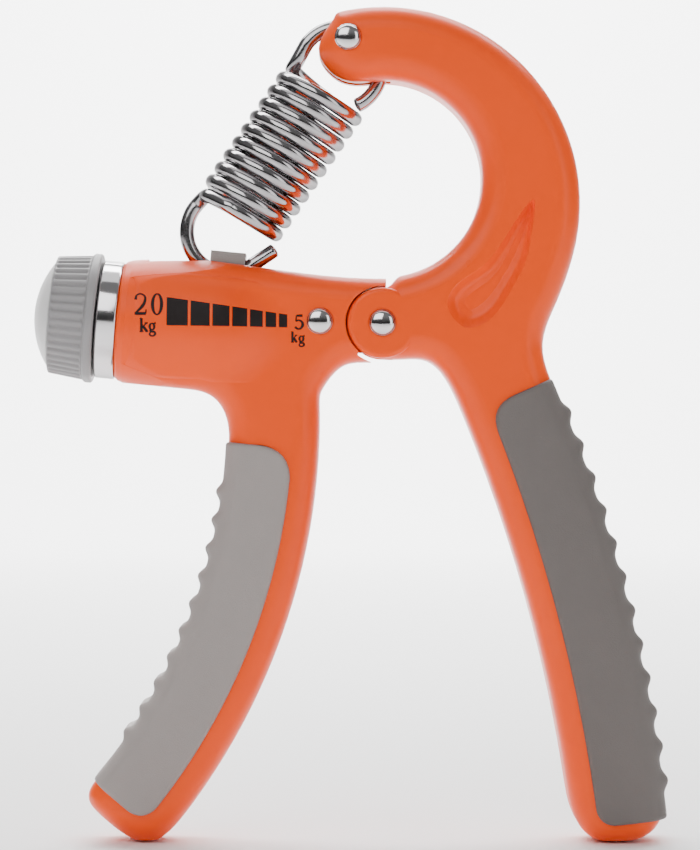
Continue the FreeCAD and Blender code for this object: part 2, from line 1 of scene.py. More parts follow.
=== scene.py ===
"""Looks of the adjustable hand grip strengthener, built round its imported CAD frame. Metres."""

import json
import math

import bmesh
import bpy
import numpy as np
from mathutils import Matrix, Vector
from mathutils.bvhtree import BVHTree


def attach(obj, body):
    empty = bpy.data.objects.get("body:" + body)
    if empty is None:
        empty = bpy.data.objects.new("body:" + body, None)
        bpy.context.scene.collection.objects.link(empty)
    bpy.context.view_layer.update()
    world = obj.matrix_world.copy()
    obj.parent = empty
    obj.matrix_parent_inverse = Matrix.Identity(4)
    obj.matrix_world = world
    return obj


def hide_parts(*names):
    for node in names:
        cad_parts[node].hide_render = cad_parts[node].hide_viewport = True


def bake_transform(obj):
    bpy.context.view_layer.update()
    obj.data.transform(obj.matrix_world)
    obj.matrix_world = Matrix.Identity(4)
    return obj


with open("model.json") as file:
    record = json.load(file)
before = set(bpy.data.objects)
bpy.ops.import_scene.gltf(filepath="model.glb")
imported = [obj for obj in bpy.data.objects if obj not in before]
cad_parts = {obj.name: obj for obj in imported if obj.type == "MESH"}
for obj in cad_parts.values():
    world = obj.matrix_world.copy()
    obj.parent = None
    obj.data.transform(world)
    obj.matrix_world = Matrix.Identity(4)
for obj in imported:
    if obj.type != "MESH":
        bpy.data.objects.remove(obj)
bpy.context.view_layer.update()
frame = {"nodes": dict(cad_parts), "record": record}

MM = 0.001
TILT = math.radians(5.5)
AXIS = np.array([math.cos(TILT), 0.0, -math.sin(TILT)])
UP = np.array([math.sin(TILT), 0.0, math.cos(TILT)])
ACROSS = np.array([0.0, 1.0, 0.0])
BARREL_START = np.array([-47.6, 0.0, 98.5])
PIVOT = (6.3, 97.5)
STOP_RIVET = (-5.5, 97.8)
SPRING_PIN = (-0.2, 151.1)
HOOK_CENTRE = np.array([-23.0, 0.0, 115.0])
LOOP_CENTRE = np.array([-1.7, 0.0, 146.1])
LEFT_ARC = (-128.7, 79.9)
RIGHT_ARC = (-259.6, -35.7)
RIGHT_PALM_ARC = (-228.9, -27.3)

# Materials --------------------------------------------------------------------------------------------------


def finish(name, color, roughness, metallic=0.0, specular=0.5, edge=1.0, grain=(900, 0.02), wear=(40, 0.06),
           tint=0.04):
    """A procedural material: fine grain in the surface, slow changes in gloss and a slight drift in colour.

    edge is how bright the reflection is at a grazing view; grain is the noise scale and bump strength, wear the
    scale and amount of the roughness change.
    """
    mat = bpy.data.materials.new(name)
    mat.use_nodes = True
    nodes, links = mat.node_tree.nodes, mat.node_tree.links
    shader = nodes["Principled BSDF"]
    shader.inputs["Base Color"].default_value = (*color, 1)
    shader.inputs["Metallic"].default_value = metallic
    shader.inputs["Specular IOR Level"].default_value = specular
    shader.inputs["Specular Tint"].default_value = (edge, edge, edge, 1)
    place = nodes.new("ShaderNodeTexCoord")

    def noise(scale, detail):
        node = nodes.new("ShaderNodeTexNoise")
        node.inputs["Scale"].default_value = scale
        node.inputs["Detail"].default_value = detail
        links.new(place.outputs["Object"], node.inputs["Vector"])
        return node.outputs["Fac"]

    gloss = nodes.new("ShaderNodeMapRange")
    gloss.inputs["From Min"].default_value = 0.3
    gloss.inputs["From Max"].default_value = 0.7
    gloss.inputs["To Min"].default_value = max(roughness - wear[1], 0.02)
    gloss.inputs["To Max"].default_value = roughness + wear[1]
    links.new(noise(wear[0], 4), gloss.inputs["Value"])
    links.new(gloss.outputs["Result"], shader.inputs["Roughness"])

    drift = nodes.new("ShaderNodeMix")
    drift.data_type = "RGBA"
    drift.inputs["A"].default_value = (*[c * (1 - tint) for c in color], 1)
    drift.inputs["B"].default_value = (*[min(c * (1 + tint), 1) for c in color], 1)
    links.new(noise(wear[0] * 0.6, 3), drift.inputs["Factor"])
    links.new(drift.outputs["Result"], shader.inputs["Base Color"])

    bump = nodes.new("ShaderNodeBump")
    bump.inputs["Strength"].default_value = grain[1]
    bump.inputs["Distance"].default_value = 0.0002
    links.new(noise(grain[0], 5), bump.inputs["Height"])
    links.new(bump.outputs["Normal"], shader.inputs["Normal"])
    return mat


orange = finish("orange_moulding", (0.92, 0.074, 0.0), 0.33, specular=0.22, grain=(2600, 0.05), tint=0.03)
rubber_left = finish("rubber_left", (0.30, 0.268, 0.255), 0.62, grain=(5200, 0.30), tint=0.07)
rubber_right = finish("rubber_right", (0.125, 0.109, 0.102), 0.62, grain=(5200, 0.30), tint=0.07)
steel = finish("polished_steel", (0.76, 0.74, 0.75), 0.10, metallic=1, edge=0.5, grain=(3000, 0.02))
wire_steel = finish("spring_wire", (0.44, 0.425, 0.435), 0.15, metallic=1, edge=0.35, grain=(1800, 0.05),
                    wear=(120, 0.07))
plain_steel = finish("plain_steel", (0.50, 0.50, 0.50), 0.32, metallic=1, grain=(3000, 0.08))
brass = finish("brass", (0.70, 0.50, 0.22), 0.30, metallic=1)
zinc = finish("zinc_casting", (0.33, 0.30, 0.285), 0.46, metallic=0.6, grain=(3500, 0.35))
knob_grey = finish("knob_grey", (0.27, 0.26, 0.264), 0.42, grain=(4200, 0.12))
cap_grey = finish("cap_grey", (0.66, 0.65, 0.645), 0.36, grain=(4200, 0.08))
white_plastic = finish("washer_white", (0.75, 0.75, 0.72), 0.4)
ink = finish("scale_ink", (0.009, 0.005, 0.005), 0.5, specular=0.25, grain=(3000, 0.1))

LOOKS = {
    "orange_plastic": orange, "left_rubber": rubber_left, "right_rubber": rubber_right, "polished_steel": steel,
    "collar_steel": steel, "spring_steel": wire_steel, "washer_plastic": white_plastic,
    "washer_steel": plain_steel, "screw_steel": plain_steel, "brass": brass, "zinc": zinc,
    "knob_plastic": knob_grey, "cap_plastic": cap_grey,
}
SLOT_OF = {s["node"]: s["material_slot"] for s in frame["record"]["subparts"]}
for node_name, node in frame["nodes"].items():
    node.data.materials.clear()
    node.data.materials.append(LOOKS[SLOT_OF[node_name]])

weld = frame["nodes"]["slider_nut"].modifiers.new("joined_corners", "WELD")
weld.merge_threshold = 0.01 * MM
bevel = frame["nodes"]["slider_nut"].modifiers.new("soft_edges", "BEVEL")
bevel.width = 0.6 * MM
bevel.segments = 4
bevel.limit_method = "ANGLE"
bevel.angle_limit = math.radians(40)

# Mesh helpers -----------------------------------------------------------------------------------------------


def piece(name, points, faces, material, body, node=None, sharp=40, settled=True):
    """A mesh from points in millimetres that rides on a body and may stand for CAD nodes."""
    mesh = bpy.data.meshes.new(name)
    mesh.from_pydata([tuple(p) for p in np.asarray(points) * MM], [], [tuple(int(i) for i in f) for f in faces])
    mesh.validate()
    work = bmesh.new()
    work.from_mesh(mesh)
    bmesh.ops.recalc_face_normals(work, faces=work.faces)
    work.to_mesh(mesh)
    work.free()
    mesh.polygons.foreach_set("use_smooth", [True] * len(mesh.polygons))
    mesh.set_sharp_from_angle(angle=math.radians(sharp))
    obj = bpy.data.objects.new(name, mesh)
    bpy.context.scene.collection.objects.link(obj)
    mesh.materials.append(material)
    if settled:
        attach(obj, body)
    if node:
        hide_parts(*([node] if isinstance(node, str) else node))
    return obj


def grid_faces(rows, columns, close_columns=True):
    """Quads of a grid of rows by columns, wrapped round in the columns."""
    faces = []
    for r in range(rows - 1):
        for c in range(columns if close_columns else columns - 1):
            d = (c + 1) % columns
            faces.append((r * columns + c, r * columns + d, (r + 1) * columns + d, (r + 1) * columns + c))
    return faces


def rounded(profile, radius=0.25, steps=4):
    """The profile's inner corners replaced by short round stretches."""
    out = [np.array(profile[0], float)]
    for before, corner, after in zip(profile, profile[1:], profile[2:]):
        before, corner, after = (np.array(p, float) for p in (before, corner, after))
        a, b = before - corner, after - corner
        la, lb = np.linalg.norm(a), np.linalg.norm(b)
        cut = min(radius, la * 0.45, lb * 0.45)
        start, end = corner + a / la * cut, corner + b / lb * cut
        for i in range(steps + 1):
            t = i / steps
            out.append((1 - t) ** 2 * start + 2 * t * (1 - t) * corner + t ** 2 * end)
    out.append(np.array(profile[-1], float))
    return out


def lathe(profile, origin, axis, side, around=128, relief=None):
    """Points and faces of a profile of (station, radius) turned about an axis.

    relief(station, radius, angle) adds to the radius.
    """
    other = np.cross(axis, side)
    points = []
    for s, r in profile:
        for k in range(around):
            a = 2 * math.pi * k / around
            reach = r + (relief(s, r, a) if relief else 0)
            points.append(origin + axis * s + (side * math.cos(a) + other * math.sin(a)) * reach)
    return points, grid_faces(len(profile), around)


def tube(path, radius, around=20):
    """A round wire along a path of points, with rounded-off cut ends."""
    path = np.asarray(path)
    heading = np.gradient(path, axis=0)
    heading /= np.linalg.norm(heading, axis=1)[:, None]
    normal = np.cross(heading[0], [0.0, 1.0, 0.13])
    normal /= np.linalg.norm(normal)
    rings = []
    ends = [(0, -0.92, 0.38), (0, -0.55, 0.84)]
    order = [(0, -1.0, 0.02), *ends] + [(i, 0, 1) for i in range(len(path))]
    order += [(len(path) - 1, 0.55, 0.84), (len(path) - 1, 0.92, 0.38), (len(path) - 1, 1.0, 0.02)]
    frames = []
    for h in heading:
        normal = normal - h * np.dot(normal, h)
        normal /= np.linalg.norm(normal)
        frames.append((normal, np.cross(h, normal)))
    for i, along, share in order:
        n, b = frames[i]
        centre = path[i] + heading[i] * along * radius * 0.35
        for k in range(around):
            a = 2 * math.pi * k / around
            rings.append(centre + (n * math.cos(a) + b * math.sin(a)) * radius * share)
    return rings, grid_faces(len(order), around)


def surface_net(field, low, high, step):
    """A closed quad mesh of the zero level of a distance field, settled onto the level afterwards."""
    spans = [np.arange(lo, hi + step, step) for lo, hi in zip(low, high)]
    size = [len(s) for s in spans]
    lattice = np.stack(np.meshgrid(*spans, indexing="ij"), axis=-1)
    values = field(lattice.reshape(-1, 3)).reshape(size)
    inside = values < 0
    cells = [n - 1 for n in size]
    corner = [(i, j, k) for i in (0, 1) for j in (0, 1) for k in (0, 1)]

    def shifted(array, c):
        return array[c[0]:c[0] + cells[0], c[1]:c[1] + cells[1], c[2]:c[2] + cells[2]]

    count = sum(shifted(inside, c).astype(int) for c in corner)
    active = (count > 0) & (count < 8)
    total = np.zeros((*cells, 3))
    crossings = np.zeros(cells)
    for c in corner:
        for axis in range(3):
            if c[axis]:
                continue
            d = list(c)
            d[axis] = 1
            f0, f1 = shifted(values, c), shifted(values, d)
            cut = (f0 < 0) != (f1 < 0)
            share = np.where(cut, f0 / np.where(cut, f0 - f1, 1), 0)
            for k in range(3):
                total[..., k] += cut * (c[k] + (share if k == axis else 0))
            crossings += cut
    index = np.full(cells, -1)
    index[active] = np.arange(active.sum())
    where = np.argwhere(active)
    points = np.array(low) + (where + total[active] / crossings[active][:, None]) * step
    faces = []
    for axis in range(3):
        near = [slice(0, n) for n in size]
        far = [slice(0, n) for n in size]
        near[axis], far[axis] = slice(0, size[axis] - 1), slice(1, size[axis])
        change = inside[tuple(near)] != inside[tuple(far)]
        spots = np.argwhere(change)
        u, v = [k for k in range(3) if k != axis]
        spots = spots[(spots[:, u] > 0) & (spots[:, v] > 0)]
        spots = spots[(spots[:, u] < cells[u]) & (spots[:, v] < cells[v])]
        quad = []
        for du, dv in ((1, 1), (0, 1), (0, 0), (1, 0)):
            q = spots.copy()
            q[:, u] -= du
            q[:, v] -= dv
            quad.append(index[q[:, 0], q[:, 1], q[:, 2]])
        faces.append(np.stack(quad, axis=1))
    for _ in range(3):
        distance = field(points)
        slope = np.zeros_like(points)
        for k in range(3):
            nudge = np.zeros(3)
            nudge[k] = 0.04
            slope[:, k] = (field(points + nudge) - field(points - nudge)) / 0.08
        steepness = np.maximum((slope ** 2).sum(axis=1), 0.05)
        move = np.clip(distance / steepness, -0.5 * step, 0.5 * step)
        points = points - slope * move[:, None]
    return points, np.vstack(faces)


def meet(a, b, radius):
    """Where two distance fields overlap, with the edge between them rounded."""
    u, v = np.maximum(a + radius, 0), np.maximum(b + radius, 0)
    return np.minimum(np.maximum(a, b), -radius) + np.sqrt(u * u + v * v)


def region(outline, x, z):
    """Signed distance to a closed outline in the front view, negative inside."""
    nearest = np.full(x.shape, 1e9)
    crossed = np.zeros(x.shape, bool)
    for (x0, z0), (x1, z1) in zip(outline, outline[1:] + outline[:1]):
        dx, dz = x1 - x0, z1 - z0
        length = dx * dx + dz * dz
        if length < 1e-12:
            continue
        t = np.clip(((x - x0) * dx + (z - z0) * dz) / length, 0, 1)
        nearest = np.minimum(nearest, (x - x0 - t * dx) ** 2 + (z - z0 - t * dz) ** 2)
        if dz:
            spans = (z0 > z) != (z1 > z)
            crossed ^= spans & (x < x0 + (z - z0) * dx / dz)
    return np.where(crossed, -1, 1) * np.sqrt(nearest)


def polar(centre, radius, degrees):
    a = math.radians(degrees)
    return (centre[0] + radius * math.cos(a), centre[1] + radius * math.sin(a))


def sweep_arc(centre, radius, start, end, count=24):
    return [polar(centre, radius, start + (end - start) * i / count) for i in range(count + 1)]


def rounded_corner(before, corner, after, radius, count=8):
    """Points of an arc-like curve that cuts the corner between two straight runs."""
    before, corner, after = (np.array(p, float) for p in (before, corner, after))
    a, b = before - corner, after - corner
    start, end = corner + a / np.linalg.norm(a) * radius, corner + b / np.linalg.norm(b) * radius
    ts = [i / count for i in range(count + 1)]
    return [tuple((1 - t) ** 2 * start + 2 * t * (1 - t) * corner + t ** 2 * end) for t in ts]


def smoothstep(low, high, value):
    t = np.clip((value - low) / (high - low), 0, 1)
    return t * t * (3 - 2 * t)


# Rubber pads ------------------------------------------------------------------------------------------------


def pad(name, body, material, node, palm, rim, corners, ribs, low, high):
    """A rubber pad with cross ribs along its palm edge.

    palm is (centre, radius, first and last angle, side); side is 1 where the palm edge is the outer one.
    rim is (centre, radius, first and last angle), corners the rounding of its two ends,
    ribs the first and last rib's angle and their number.
    """
    centre, radius, palm_start, palm_end, side = palm
    rim_centre, rim_radius, rim_start, rim_end = rim
    palm_near = [polar(centre, radius + side * 4, a) for a in (palm_start, palm_end)]
    rim_line = sweep_arc(rim_centre, rim_radius, rim_start, rim_end)
    top = rounded_corner(palm_near[0], rim_line[0], rim_line[1], corners[0])
    skip = math.degrees(corners[0] / rim_radius), math.degrees(corners[1] / rim_radius)
    middle = sweep_arc(rim_centre, rim_radius, rim_start - skip[0], rim_end + skip[1])
    bottom = rounded_corner(rim_line[-2], rim_line[-1], palm_near[1], corners[1])
    outline = [palm_near[0], *top, *middle, *bottom, palm_near[1],
               *sweep_arc(centre, radius + side * 4, palm_end, palm_start)[1:-1]]
    first, last, count = ribs
    pitch = (last - first) / (count - 1)

    def field(p):
        x, y, z = p[:, 0], p[:, 1], p[:, 2]
        rho = np.hypot(x - centre[0], z - centre[1])
        angle = np.degrees(np.arctan2(z - centre[1], x - centre[0]))
        outward = side * (rho - radius)
        turn = (angle - first) / pitch
        crest = (0.5 + 0.5 * np.cos(2 * math.pi * turn)) ** 1.7
        ends = smoothstep(-0.5, -0.3, turn) * (1 - smoothstep(count - 0.7, count - 0.5, turn))
        crest = crest * ends * (1 - smoothstep(5.6, 8.3, np.abs(y)))
        depth = -outward
        half = 9.3 - 0.75 * ((depth - 8.5) / 8.5) ** 2
        body_part = meet(outward - 1.05 * crest, np.abs(y) - half, 3.4)
        return meet(body_part, region(outline, x, z), 0.6)

    points, faces = surface_net(field, low, high, 0.42)
    piece(name, points, faces, material, body, node, sharp=60)


pad("left_pad", "left", rubber_left, "left_grip",
    (LEFT_ARC, 105.6, -2.45, -40.3, -1), (LEFT_ARC, 118.2, -2.9, -40.3), (6.5, 4.5), (-7.7, -34.3, 10),
    (-50, -10, 2.5), (-9, 10, 77))
pad("right_pad", "right", rubber_right, "right_grip",
    (RIGHT_PALM_ARC, 290.6, 23.2, 6.25, 1), (RIGHT_ARC, 308.8, 22.35, 7.15), (5.5, 4.0), (21.8, 7.65, 12),
    (25.5, -10, 1.5), (62, 10, 89))

# Spring -----------------------------------------------------------------------------------------------------

WIRE = 1.38
COIL = 7.8
PITCH = 2.95
TURNS = 10
COIL_START = 3.3
along = LOOP_CENTRE - HOOK_CENTRE
spring_length = np.linalg.norm(along)
along = along / spring_length
sideways = np.array([along[2], 0.0, -along[0]])


def spring_at(t, across, y):
    return HOOK_CENTRE + along * t + sideways * across + ACROSS * y


def smooth_path(points, step=0.45):
    """Evenly spaced points on a smooth line through the given ones."""
    points = np.asarray(points)
    padded = np.vstack([2 * points[0] - points[1], points, 2 * points[-1] - points[-2]])
    dense = []
    for i in range(1, len(padded) - 2):
        p0, p1, p2, p3 = padded[i - 1:i + 3]
        for t in np.linspace(0, 1, 24, endpoint=False):
            dense.append(0.5 * (2 * p1 + (p2 - p0) * t + (2 * p0 - 5 * p1 + 4 * p2 - p3) * t ** 2
                                + (3 * p1 - 3 * p2 + p3 - p0) * t ** 3))
    dense = np.array(dense + [points[-1]])
    length = np.concatenate([[0], np.cumsum(np.linalg.norm(np.diff(dense, axis=0), axis=1))])
    spots = np.linspace(0, length[-1], int(length[-1] / step) + 1)
    return np.stack([np.interp(spots, length, dense[:, k]) for k in range(3)], axis=1)


def coil(first, last, steps=36):
    turns = np.linspace(first, last, int((last - first) * steps) + 1)
    return [spring_at(COIL_START + PITCH * n, -COIL * math.cos(2 * math.pi * n),
                      -COIL * math.sin(2 * math.pi * n)) for n in turns]


def ring_points(t, angles):
    return [spring_at(t + COIL * math.sin(math.radians(d)), COIL * math.cos(math.radians(d)), 0)
            for d in angles]


TAIL_TURN = -22
tail_start, heading = math.radians(TAIL_TURN), math.radians(TAIL_TURN + 90)
hook_path = [spring_at(COIL * math.sin(tail_start) + run * math.sin(heading),
                       COIL * math.cos(tail_start) + run * math.cos(heading), 0)
             for run in (5.3, 4.0, 2.6, 1.2)]
hook_path += ring_points(0, range(TAIL_TURN, -196, -6))
hook_path += [spring_at(3.1, -7.2, -1.4), spring_at(3.5, -6.2, -4.0)]
split = 3.75
lower = smooth_path(hook_path + coil(1 / 6, split)[1:])
upper_loop = [spring_at(32.7, -7.5, 1.5), spring_at(34.2, -7.5, 0.4)]
upper = smooth_path(coil(split, TURNS)[:-2] + upper_loop + ring_points(spring_length, range(180, -31, -6)))
for name, path, nodes, pair, reach in (
    ("spring_lower_wire", lower, ["spring_hook_end", "spring_lower_hook"], ("spring_hook", "spring_body"),
     (COIL_START, COIL_START + PITCH * split)),
    ("spring_upper_wire", upper, ["spring_coils", "spring_upper_loop"], ("spring_body", "spring_loop"),
     (COIL_START + PITCH * split, COIL_START + PITCH * TURNS)),
):
    points, faces = tube(path, WIRE)
    wire = piece(name, points, faces, wire_steel, None, nodes, settled=False)
    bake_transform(wire)

# Knob, cap, collar and screw --------------------------------------------------------------------------------

KNOB_RIBS = 44


def knob_relief(s, r, a):
    """Narrow round ribs along the band, none on the flange."""
    if s > -2.0 or s < -8.45 or r < 10.5:
        return 0.0
    fade = min(1.0, (-2.0 - s) / 0.35, (s + 8.45) / 0.5)
    return -0.42 * fade * (0.5 - 0.5 * math.cos(KNOB_RIBS * a)) ** 1.6


band = [(-1.95 - 0.1 * i, 11.85 - 0.011 * i) for i in range(66)]
profile = [(-0.05, 7.0), (-0.05, 12.0), (-0.35, 12.3), (-1.5, 12.3), (-1.8, 12.05), (-1.88, 11.8)]
profile = rounded(profile, 0.22) + band + [(-8.6, 10.9), (-8.62, 10.4), (-8.4, 9.0)]
points, faces = lathe(profile, BARREL_START, AXIS, UP, around=KNOB_RIBS * 10, relief=knob_relief)
piece("knob_ribbed", points, faces, knob_grey, "adjuster", "knob", sharp=50)

CAP_RADIUS, CAP_HEIGHT, CAP_BASE = 10.3, 3.5, -8.63
ball = (CAP_RADIUS ** 2 + CAP_HEIGHT ** 2) / (2 * CAP_HEIGHT)
dome = [(CAP_BASE, 8.0), (CAP_BASE, CAP_RADIUS - 0.1), (CAP_BASE - 0.15, CAP_RADIUS - 0.02)]
for i in range(25):
    r = (CAP_RADIUS - 0.12) * math.cos(math.pi / 2 * i / 24)
    dome.append((CAP_BASE - CAP_HEIGHT + ball - math.sqrt(ball ** 2 - r ** 2), max(r, 0.01)))
points, faces = lathe(dome, BARREL_START, AXIS, UP, around=160)
piece("knob_dome", points, faces, cap_grey, "adjuster", "knob_cap")

profile = [(0.28, 7.05), (0.28, 10.7), (0.32, 11.0), (0.6, 11.2), (3.8, 11.2), (4.08, 11.0), (4.12, 10.7),
           (4.12, 7.05)]
points, faces = lathe(rounded(profile, 0.12), BARREL_START, AXIS, UP, around=180)
piece("collar_ring", points, faces, steel, "left", "collar")

thread = []
stations = np.arange(9.9, 36.1, 0.0833)
around = 48
for s in stations:
    for k in range(around):
        a = 2 * math.pi * k / around
        phase = (s + a / (2 * math.pi)) % 1.0
        depth = 0.55 * min(max(abs(phase - 0.5) * 2 * 1.25 - 0.12, 0), 1)
        thread.append(BARREL_START + AXIS * s + (UP * math.cos(a) + ACROSS * math.sin(a)) * (2.98 - depth))
core = grid_faces(len(stations), around)
ends, _ = lathe([(-5.4, 0.05), (-5.45, 2.7), (-5.2, 2.98), (8.74, 2.98), (8.76, 2.5), (9.66, 2.5), (9.68, 2.98),
                 (9.9, 2.98)], BARREL_START, AXIS, UP, around=48)
tail, _ = lathe([(36.0, 2.98), (36.6, 2.4), (36.62, 1.8), (39.4, 1.8), (39.6, 1.6), (39.6, 0.05)],
                BARREL_START, AXIS, UP, around=48)
points = list(ends) + list(thread) + list(tail)
faces = grid_faces(8, 48)
faces += [tuple(i + len(ends) for i in f) for f in core]
faces += [tuple(i + len(ends) + len(thread) for i in f) for f in grid_faces(6, 48)]
piece("screw_thread", points, faces, plain_steel, "adjuster", "lead_screw", sharp=60)

# Rivets -----------------------------------------------------------------------------------------------------


def rivet(name, spot, shank, body, nodes):
    """Both domed heads of a rivet, each with its flat rim, and the shank between them."""
    seat = 8.5
    half = [(seat - 0.42, shank), (seat - 0.42, 2.46), (seat + 0.02, 2.48), (seat + 0.16, 2.36)]
    for i in range(13):
        a = math.pi / 2 * i / 12
        half.append((seat + 0.16 + 0.92 * math.sin(a), max(2.28 * math.cos(a), 0.01)))
    outline = [(-s, r) for s, r in reversed(half)] + half
    origin = np.array([spot[0], 0.0, spot[1]])
    points, faces = lathe(outline, origin, ACROSS, np.array([1.0, 0.0, 0.0]), around=56)
    piece(name, points, faces, steel, body, nodes)


rivet("pivot_rivet", PIVOT, 2.0, "right", ["pivot_post", "pivot_cap"])
rivet("stop_rivet", STOP_RIVET, 2.0, "left", ["stop_post", "stop_cap"])
rivet("spring_pin_rivet", SPRING_PIN, 1.15, "right", ["spring_pin_post", "spring_pin_cap"])

# Barrel flow ------------------------------------------------------------------------------------------------
# The moulding's round barrel runs into its flat sides in a soft curve. Each side has a thin skin over the
# crease between the two, which sinks just under the moulding at its own borders.

BARREL_RADIUS, NECK_RADIUS = 11.7, 7.6
TAPER_START, TAPER_END = 22.0, 40.0     # stations along the barrel's axis
PLATE_HALF, PLATE_ROUND = 8.5, 4.5      # the flat moulding's half thickness and the rounding of its edges
SKIN_START, SKIN_END, SKIN_REACH = 5.9, 43.5, 11.3
SKIN_ROWS, SKIN_COLUMNS = 110, 90
MOUTH_BEVEL = [(5.8, 0.02), (7.4, 0.3), (10.7, 0.7), (15.2, 1.15), (28.2, 2.45), (28.3, 9.0)]


def barrel_radius(s):
    """The barrel's radius along its axis: even, then easing down into the hub."""
    t = np.linspace(0, 1, 60)
    b = np.stack([(1 - t) ** 3, 3 * t * (1 - t) ** 2, 3 * t ** 2 * (1 - t), t ** 3])
    pulls = [TAPER_START + (TAPER_END - TAPER_START) * share for share in (0, 0.45, 0.55, 1)]
    return np.interp(s, b.T @ pulls, b.T @ [BARREL_RADIUS, BARREL_RADIUS, NECK_RADIUS, NECK_RADIUS])


def plate_half(x, z):
    """Half thickness of the flat moulding, with its rounded edges."""
    depth = np.clip(-region(BARREL_OUTLINE, x, z), 0, PLATE_ROUND)
    return PLATE_HALF - PLATE_ROUND + np.sqrt(PLATE_ROUND ** 2 - (PLATE_ROUND - depth) ** 2)


def on_axis(s, v):
    spot = BARREL_START + AXIS * s + UP * v
    return spot[0], spot[2]


BARREL_OUTLINE = [on_axis(-1, -BARREL_RADIUS), on_axis(-1, BARREL_RADIUS)]
BARREL_OUTLINE += [tuple(p[[0, 2]]) for p in smooth_path([
    (BARREL_OUTLINE[1][0], 0, BARREL_OUTLINE[1][1]), (-31.0, 0, 109.8), (-19.0, 0, 108.4), (-7.8, 0, 106.9),
    (12.3, 0, 106.2)], 1.0)[1:]]
BARREL_OUTLINE += [(12.3, 80.0), (-24.9, 80.0), (-25.5, 83.4), (-28.6, 85.3), on_axis(15, -BARREL_RADIUS)]


def skin(name, side):
    """One side's skin; side is -1 at the front and 1 at the back."""
    stations = np.linspace(SKIN_START, SKIN_END, SKIN_ROWS)
    s, share = np.meshgrid(stations, np.linspace(0, 1, SKIN_COLUMNS), indexing="ij")
    low = -SKIN_REACH + 4.8 * smoothstep(34, SKIN_END, s)
    v = low + (SKIN_REACH - low) * share
    flat = BARREL_START[None, None] + s[..., None] * AXIS + v[..., None] * UP
    x, z = flat[..., 0], flat[..., 2]
    round_half = np.sqrt(np.maximum(barrel_radius(s) ** 2 - v ** 2, 0))
    flat_half = plate_half(x.ravel(), z.ravel()).reshape(x.shape)
    ease = 1.7 - 1.0 * smoothstep(26, 38, s)
    gap = round_half - flat_half
    height = 0.5 * (round_half + flat_half + np.sqrt(gap ** 2 + ease ** 2))
    hub_side = (43.4 - s) * 0.8 + (v + 10.1) * 0.6 - 2.6
    border = np.minimum.reduce([s - SKIN_START, SKIN_END - s, SKIN_REACH - v, v - low, hub_side])
    height -= 0.10 + 0.9 * (1 - smoothstep(0, 2.0, border))
    mouth = BARREL_RADIUS + np.interp(s, *zip(*MOUTH_BEVEL))
    height = np.minimum(height, np.sqrt(np.maximum(mouth ** 2 - v ** 2, 0)) - 0.06)
    points = np.stack([x, side * height, z], axis=-1).reshape(-1, 3)
    faces = grid_faces(SKIN_ROWS, SKIN_COLUMNS, False)
    return piece(name, points, faces, orange, "left", sharp=180)


front_skin = skin("barrel_skin_front", -1)
skin("barrel_skin_back", 1)

# Scale print ------------------------------------------------------------------------------------------------

GLYPHS = {
    "2": [[(0.08, 0.72, 0.9), (0.16, 0.92, 0.5), (0.5, 1.0, 0.5), (0.86, 0.88, 0.8), (0.88, 0.66, 1.0),
           (0.66, 0.40, 0.8), (0.04, 0.04, 0.5)], [(0.02, 0.05, 0.9), (0.96, 0.05, 0.9)],
          [(0.94, 0.04, 0.5), (1.0, 0.24, 0.4)]],
    "0": [[(0.5 + 0.42 * math.sin(a), 0.5 + 0.5 * math.cos(a), 0.45 + 0.6 * abs(math.sin(a)))
           for a in (math.pi * k / 8 for k in range(17))]],
    "5": [[(0.88, 0.96, 0.9), (0.22, 0.96, 0.7)], [(0.22, 0.98, 0.5), (0.16, 0.55, 0.5)],
          [(0.16, 0.55, 0.5), (0.46, 0.63, 0.5), (0.80, 0.52, 0.8), (0.90, 0.28, 1.0), (0.70, 0.06, 0.7),
           (0.36, 0.0, 0.5), (0.06, 0.14, 0.9)]],
    "k": [[(0.26, 0.0, 1.0), (0.26, 1.0, 1.0)], [(0.04, 0.02, 0.5), (0.50, 0.02, 0.5)],
          [(0.06, 0.97, 0.5), (0.28, 1.0, 0.5)], [(0.28, 0.28, 0.5), (0.86, 0.64, 0.5)],
          [(0.46, 0.40, 1.0), (0.90, 0.02, 1.0)], [(0.64, 0.65, 0.5), (1.0, 0.65, 0.5)],
          [(0.70, 0.02, 0.5), (1.04, 0.02, 0.5)]],
    "g": [[(0.45 + 0.33 * math.sin(a), 0.70 + 0.24 * math.cos(a), 0.5 + 0.4 * abs(math.sin(a)))
           for a in (math.pi * k / 8 for k in range(17))],
          [(0.68, 0.92, 0.5), (1.0, 0.97, 0.8)],
          [(0.28, 0.50, 0.5), (0.16, 0.40, 0.7), (0.36, 0.33, 0.8), (0.78, 0.30, 0.8), (0.90, 0.16, 0.9),
           (0.66, 0.02, 0.6), (0.28, 0.02, 0.6), (0.10, 0.14, 0.7), (0.26, 0.30, 0.5)]],
}
SURFACES = [BVHTree.FromPolygons([v.co for v in shell.vertices], [p.vertices for p in shell.polygons])
            for shell in (frame["nodes"]["left_handle"].data, front_skin.data)]


def on_surface(x, z):
    """The spot on the front of the left handle, a hair above it."""
    hits = [tree.ray_cast(Vector((x * MM, -0.03, z * MM)), Vector((0, 1, 0)))[0] for tree in SURFACES]
    return (x, min([hit.y / MM for hit in hits if hit], default=-9.0) - 0.03, z)


ink_points, ink_faces = [], []


def ink_grid(rows):
    """A strip of ink over rows of (x, z) spots of equal length."""
    base, width = len(ink_points), len(rows[0])
    ink_points.extend(on_surface(x, z) for row in rows for x, z in row)
    ink_faces.extend(tuple(base + i for i in f) for f in grid_faces(len(rows), width, False))


